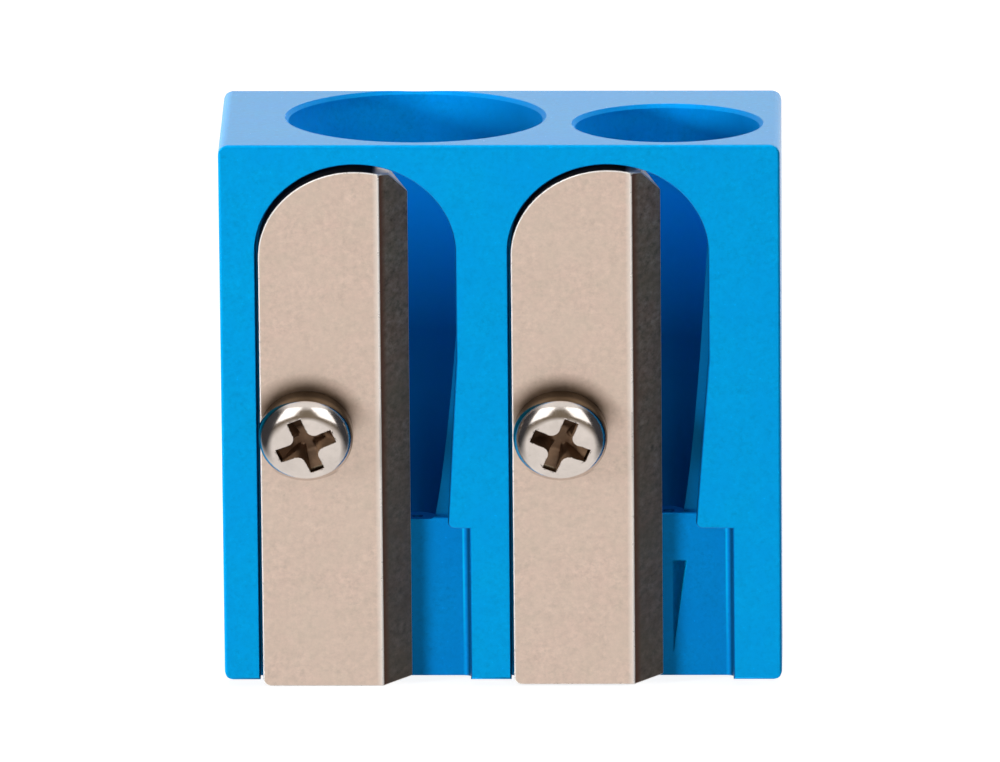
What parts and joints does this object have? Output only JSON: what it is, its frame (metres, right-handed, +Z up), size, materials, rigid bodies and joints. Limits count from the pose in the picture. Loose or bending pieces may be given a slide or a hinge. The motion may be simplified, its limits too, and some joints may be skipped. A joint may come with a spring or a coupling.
{
  "type": "pencil sharpener",
  "caption": "Wedge-shaped metal hand sharpener with a wide and a narrow conical pencil hole, each with its own screwed-on straight blade and an open chip slot.",
  "frame": {"origin": "middle of the body's foot, the small end opposite the pencil holes", "axes": "+Z up to the face with the pencil holes, -Y towards the side with the blades, +X to the right when looking at the blades"},
  "size_m": [0.024, 0.0119, 0.0253],
  "materials": {
    "body_finish": "satin blue coloured metal, fine grained",
    "blade_steel": "ground and hardened, matt on the flat, darker on the bevel",
    "screw_plating": "bright nickel plate"
  },
  "bodies": {
    "sharpener_body": {"body": "body_finish"},
    "left_blade_body": {"left_blade": "blade_steel"},
    "right_blade_body": {"right_blade": "blade_steel"},
    "left_screw_body": {"left_screw": "screw_plating"},
    "right_screw_body": {"right_screw": "screw_plating"}
  },
  "joints": [
    {"name": "left_blade_lift", "type": "slide", "parent": "sharpener_body", "child": "left_blade_body", "axis": [0, -0.9588, -0.284], "range_m": [0, 0.00495]},
    {"name": "right_blade_lift", "type": "slide", "parent": "sharpener_body", "child": "right_blade_body", "axis": [0, -0.9588, -0.284], "range_m": [0, 0.00495]},
    {"name": "left_screw_turn", "type": "hinge", "parent": "left_blade_body", "child": "left_screw_body", "pos_m": [-0.00836, -0.00222, 0.0117], "axis": [0, -0.9588, -0.284], "range_deg": [0, 3960.5]},
    {"name": "right_screw_turn", "type": "hinge", "parent": "right_blade_body", "child": "right_screw_body", "pos_m": [0.00255, -0.00222, 0.0117], "axis": [0, -0.9588, -0.284], "range_deg": [0, 3960.5]}
  ],
  "couplings": [
    {"joint": "left_screw_turn", "follows": "left_blade_lift", "rad_per_m": 13963},
    {"joint": "right_screw_turn", "follows": "right_blade_lift", "rad_per_m": 13963}
  ]
}
